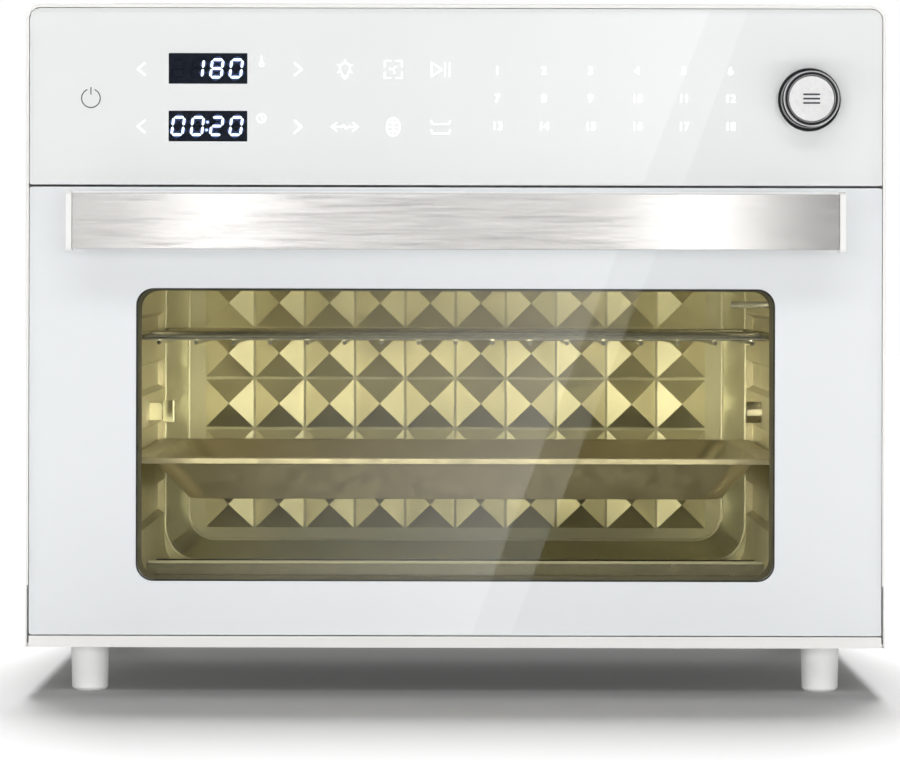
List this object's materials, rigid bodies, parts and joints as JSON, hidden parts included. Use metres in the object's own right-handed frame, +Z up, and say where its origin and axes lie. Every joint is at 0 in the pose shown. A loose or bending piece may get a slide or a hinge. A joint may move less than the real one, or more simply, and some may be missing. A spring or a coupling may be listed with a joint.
{
  "type": "air fryer oven",
  "caption": "White countertop air fryer oven: boxy steel cabinet, glass control panel with knob, drop-down glass door with bow handle, cavity with rack and tray.",
  "frame": {"origin": "middle of the bounding box's footprint, on the table under the feet", "axes": "+X to the right of someone who faces the door, +Y to the back, +Z up"},
  "size_m": [0.48, 0.404, 0.389],
  "materials": {
    "white_enamel": "smooth satin white",
    "white_plastic": "fine moulded satin",
    "front_glass": "polished, printed white from behind",
    "inner_glass": "polished, slightly tinted",
    "lamp_glass": "clear",
    "brushed_steel": "brushed along its length",
    "chrome": "polished",
    "cavity_steel": "satin coated steel",
    "tray_steel": "satin enamel",
    "wire_steel": "plated wire",
    "zinc_steel": "zinc plated",
    "heater_steel": "heat-darkened sheath",
    "black_plastic": "satin",
    "circuit_board": "lacquered"
  },
  "bodies": {
    "cabinet": {"outer_housing": "white_enamel", "base_plate": "white_enamel", "rear_cover": "white_enamel", "front_frame": "zinc_steel", "cord_gland": "black_plastic", "rear_spacer_left": "white_plastic", "rear_spacer_right": "white_plastic", "foot_front_left": "white_plastic", "foot_rear_left": "white_plastic", "foot_front_right": "white_plastic", "foot_rear_right": "white_plastic", "cavity_liner": "cavity_steel", "cavity_rear_panel": "cavity_steel", "cavity_ceiling": "cavity_steel", "fan_chamber": "zinc_steel", "upper_heater": "heater_steel", "lower_heater_front": "heater_steel", "lower_heater_rear": "heater_steel", "fan_motor": "zinc_steel", "lamp_holder": "zinc_steel", "lamp_cover": "lamp_glass", "lamp_bulb": "lamp_glass", "spit_motor": "zinc_steel", "spit_bracket": "zinc_steel", "temperature_probe": "zinc_steel", "door_switch": "black_plastic", "control_glass": "front_glass", "panel_carrier": "white_plastic", "control_board": "circuit_board", "temperature_display": "black_plastic", "timer_display": "black_plastic", "rotary_encoder": "zinc_steel", "crumb_tray": "cavity_steel", "hinge_bracket_left": "zinc_steel", "hinge_bracket_right": "zinc_steel"},
    "door": {"door_outer_glass": "front_glass", "door_surround": "white_plastic", "door_inner_panel": "cavity_steel", "door_inner_glass": "inner_glass", "handle_bar": "brushed_steel", "handle_cap_left": "white_plastic", "handle_cap_right": "white_plastic", "handle_post_left": "brushed_steel", "handle_post_right": "brushed_steel", "hinge_arm_left": "zinc_steel", "hinge_arm_right": "zinc_steel", "hinge_pin_left": "zinc_steel", "hinge_pin_right": "zinc_steel"},
    "rack": {"wire_rack": "wire_steel"},
    "tray": {"baking_tray": "tray_steel"},
    "knob": {"encoder_shaft": "zinc_steel", "knob_ring": "chrome"},
    "knob_button": {"knob_cap": "brushed_steel"},
    "fans": {"motor_shaft": "zinc_steel", "hot_air_fan": "zinc_steel", "cooling_fan": "zinc_steel"},
    "spit_drive": {"spit_drive_socket": "zinc_steel"},
    "plunger": {"switch_plunger": "black_plastic"}
  },
  "joints": [
    {"name": "door_hinge", "type": "hinge", "parent": "cabinet", "child": "door", "pos_m": [0, -0.152, 0.052], "axis": [1, 0, 0], "range_deg": [0, 90], "stiffness_Nm_per_rad": 0.9, "springref_deg": -34.38},
    {"name": "rack_slide", "type": "slide", "parent": "cabinet", "child": "rack", "axis": [0, -1, 0], "range_m": [0, 0.19]},
    {"name": "tray_slide", "type": "slide", "parent": "cabinet", "child": "tray", "axis": [0, -1, 0], "range_m": [0, 0.111]},
    {"name": "knob_turn", "type": "hinge", "parent": "cabinet", "child": "knob", "pos_m": [0.197, -0.166, 0.3332], "axis": [0, -1, 0], "continuous": true},
    {"name": "knob_button_press", "type": "slide", "parent": "knob", "child": "knob_button", "axis": [0, 1, 0], "range_m": [0, 0.001], "stiffness_N_per_m": 700, "springref_m": -0.001},
    {"name": "fan_spin", "type": "hinge", "parent": "cabinet", "child": "fans", "pos_m": [0, 0.012, 0.3], "axis": [0, 0, 1], "continuous": true},
    {"name": "spit_drive_spin", "type": "hinge", "parent": "cabinet", "child": "spit_drive", "pos_m": [0.182, 0.027, 0.1525], "axis": [1, 0, 0], "continuous": true},
    {"name": "door_switch_release", "type": "slide", "parent": "cabinet", "child": "plunger", "axis": [0, -1, 0], "range_m": [0, 0.003]}
  ],
  "couplings": [
    {"joint": "rack_slide", "follows": "door_hinge", "m_per_rad": 0.12},
    {"joint": "tray_slide", "follows": "door_hinge", "m_per_rad": 0.07},
    {"joint": "door_switch_release", "follows": "door_hinge", "m_per_rad": 0.0019}
  ]
}
